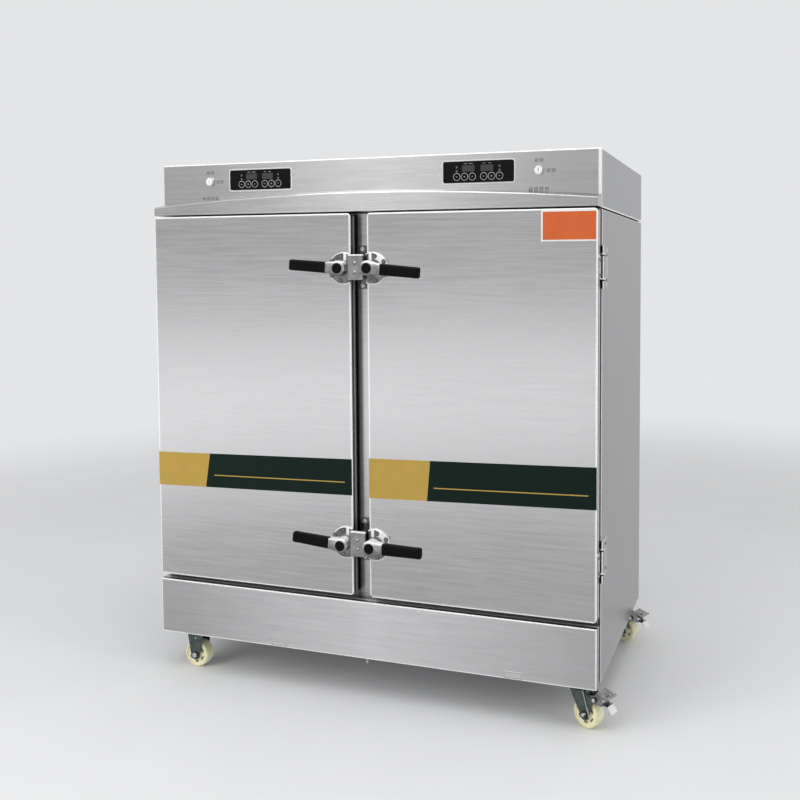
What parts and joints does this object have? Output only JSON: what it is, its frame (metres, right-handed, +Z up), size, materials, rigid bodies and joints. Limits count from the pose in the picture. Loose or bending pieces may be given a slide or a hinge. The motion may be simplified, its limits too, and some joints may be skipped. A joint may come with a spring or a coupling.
{
  "type": "rice steamer cabinet",
  "caption": "Two-door stainless steel rice steamer cabinet on casters, with tray rails, water tanks, heaters, lever latches and a control head.",
  "frame": {"origin": "centre of the whole object's outline seen from above, on the floor that the casters stand on", "axes": "+X to the right seen from the front, +Y from the doors to the back panel, +Z up"},
  "size_m": [1.4448, 0.762, 1.56],
  "materials": {
    "case_steel": "satin",
    "chamber_steel": "satin",
    "frame_steel": "satin",
    "insulation": "matte",
    "seal_rubber": "matte",
    "latch_metal": "satin",
    "grip_black": "satin",
    "panel_black": "gloss",
    "knob_cream": "gloss",
    "electrics_grey": "matte",
    "wheel_cream": "satin",
    "caster_zinc": "satin",
    "valve_brass": "satin",
    "lever_red": "gloss"
  },
  "bodies": {
    "cabinet": {"base_frame": "frame_steel", "side_panel_right": "case_steel", "side_panel_left": "case_steel", "top_panel": "case_steel", "back_panel": "case_steel", "front_frame": "frame_steel", "chamber_right": "chamber_steel", "chamber_left": "chamber_steel", "body_insulation": "insulation", "tray_rails_right": "chamber_steel", "tray_rails_left": "chamber_steel", "steam_plates": "chamber_steel", "heating_elements": "chamber_steel", "feed_tank": "chamber_steel", "drain_valve": "valve_brass", "outlet_pipes": "chamber_steel", "service_panel": "case_steel", "head_base": "case_steel", "head_shell": "case_steel", "head_fascia": "case_steel", "head_electrics": "electrics_grey", "cable_gland": "grip_black", "striker_blocks": "latch_metal", "control_panels": "panel_black", "body_hinges": "latch_metal", "rigid_forks": "caster_zinc", "rigid_axles": "caster_zinc", "swivel_plates": "caster_zinc"},
    "door_right": {"door_skin_right": "case_steel", "door_foam_right": "insulation", "door_liner_right": "chamber_steel", "door_gasket_right": "seal_rubber", "door_hinges_right": "latch_metal", "latch_bases_right": "latch_metal"},
    "door_left": {"door_skin_left": "case_steel", "door_foam_left": "insulation", "door_liner_left": "chamber_steel", "door_gasket_left": "seal_rubber", "door_hinges_left": "latch_metal", "latch_bases_left": "latch_metal"},
    "switch_right": {"switch_knob_right": "knob_cream"},
    "switch_left": {"switch_knob_left": "knob_cream"},
    "drain_handle": {"drain_lever": "lever_red"},
    "caster_wheel_front_left": {"wheel_front_left": "wheel_cream"},
    "caster_wheel_rear_left": {"wheel_rear_left": "wheel_cream"},
    "latch_top_left": {"lever_top_left": "latch_metal", "grip_top_left": "grip_black"},
    "latch_top_right": {"lever_top_right": "latch_metal", "grip_top_right": "grip_black"},
    "latch_bottom_left": {"lever_bottom_left": "latch_metal", "grip_bottom_left": "grip_black"},
    "latch_bottom_right": {"lever_bottom_right": "latch_metal", "grip_bottom_right": "grip_black"},
    "swivel_front": {"swivel_fork_front": "caster_zinc"},
    "caster_wheel_front_right": {"wheel_front_right": "wheel_cream"},
    "brake_front": {"brake_pedal_front": "caster_zinc"},
    "swivel_rear": {"swivel_fork_rear": "caster_zinc"},
    "caster_wheel_rear_right": {"wheel_rear_right": "wheel_cream"},
    "brake_rear": {"brake_pedal_rear": "caster_zinc"}
  },
  "joints": [
    {"name": "door_right_swing", "type": "hinge", "parent": "cabinet", "child": "door_right", "pos_m": [0.67212, -0.293, 0.8485], "axis": [0, 0, 1], "range_deg": [0, 165]},
    {"name": "door_left_swing", "type": "hinge", "parent": "cabinet", "child": "door_left", "pos_m": [-0.71588, -0.293, 0.8485], "axis": [0, 0, -1], "range_deg": [0, 165]},
    {"name": "latch_top_right_lift", "type": "hinge", "parent": "door_right", "child": "latch_top_right", "pos_m": [0.02362, -0.3675, 1.243], "axis": [0, -1, 0], "range_deg": [0, 85]},
    {"name": "latch_top_left_lift", "type": "hinge", "parent": "door_left", "child": "latch_top_left", "pos_m": [-0.06738, -0.3675, 1.243], "axis": [0, 1, 0], "range_deg": [0, 85]},
    {"name": "latch_bottom_right_lift", "type": "hinge", "parent": "door_right", "child": "latch_bottom_right", "pos_m": [0.02362, -0.3675, 0.455], "axis": [0, -1, 0], "range_deg": [0, 85]},
    {"name": "latch_bottom_left_lift", "type": "hinge", "parent": "door_left", "child": "latch_bottom_left", "pos_m": [-0.06738, -0.3675, 0.455], "axis": [0, 1, 0], "range_deg": [0, 85]},
    {"name": "switch_right_turn", "type": "hinge", "parent": "cabinet", "child": "switch_right", "pos_m": [0.49612, -0.293, 1.506], "axis": [0, 1, 0], "range_deg": [0, 90]},
    {"name": "switch_left_turn", "type": "hinge", "parent": "cabinet", "child": "switch_left", "pos_m": [-0.53988, -0.293, 1.506], "axis": [0, 1, 0], "range_deg": [0, 90]},
    {"name": "drain_valve_turn", "type": "hinge", "parent": "cabinet", "child": "drain_handle", "pos_m": [-0.29588, -0.191, 0.166], "axis": [0, 1, 0], "range_deg": [0, 90]},
    {"name": "wheel_front_left_roll", "type": "hinge", "parent": "cabinet", "child": "caster_wheel_front_left", "pos_m": [-0.61388, -0.288, 0.04], "axis": [0, 1, 0], "continuous": true},
    {"name": "swivel_front_turn", "type": "hinge", "parent": "cabinet", "child": "swivel_front", "pos_m": [0.61112, -0.288, 0.1], "axis": [0, 0, 1], "continuous": true},
    {"name": "wheel_front_right_roll", "type": "hinge", "parent": "swivel_front", "child": "caster_wheel_front_right", "pos_m": [0.64035, -0.30102, 0.04], "axis": [0.4067, 0.9135, 0], "continuous": true},
    {"name": "brake_front_press", "type": "hinge", "parent": "swivel_front", "child": "brake_front", "pos_m": [0.66776, -0.31322, 0.088], "axis": [0.4067, 0.9135, 0], "range_deg": [0, 12]},
    {"name": "wheel_rear_left_roll", "type": "hinge", "parent": "cabinet", "child": "caster_wheel_rear_left", "pos_m": [-0.61388, 0.287, 0.04], "axis": [0, 1, 0], "continuous": true},
    {"name": "swivel_rear_turn", "type": "hinge", "parent": "cabinet", "child": "swivel_rear", "pos_m": [0.61112, 0.287, 0.1], "axis": [0, 0, 1], "continuous": true},
    {"name": "wheel_rear_right_roll", "type": "hinge", "parent": "swivel_rear", "child": "caster_wheel_rear_right", "pos_m": [0.64035, 0.27398, 0.04], "axis": [0.4067, 0.9135, 0], "continuous": true},
    {"name": "brake_rear_press", "type": "hinge", "parent": "swivel_rear", "child": "brake_rear", "pos_m": [0.66776, 0.26178, 0.088], "axis": [0.4067, 0.9135, 0], "range_deg": [0, 12]}
  ]
}
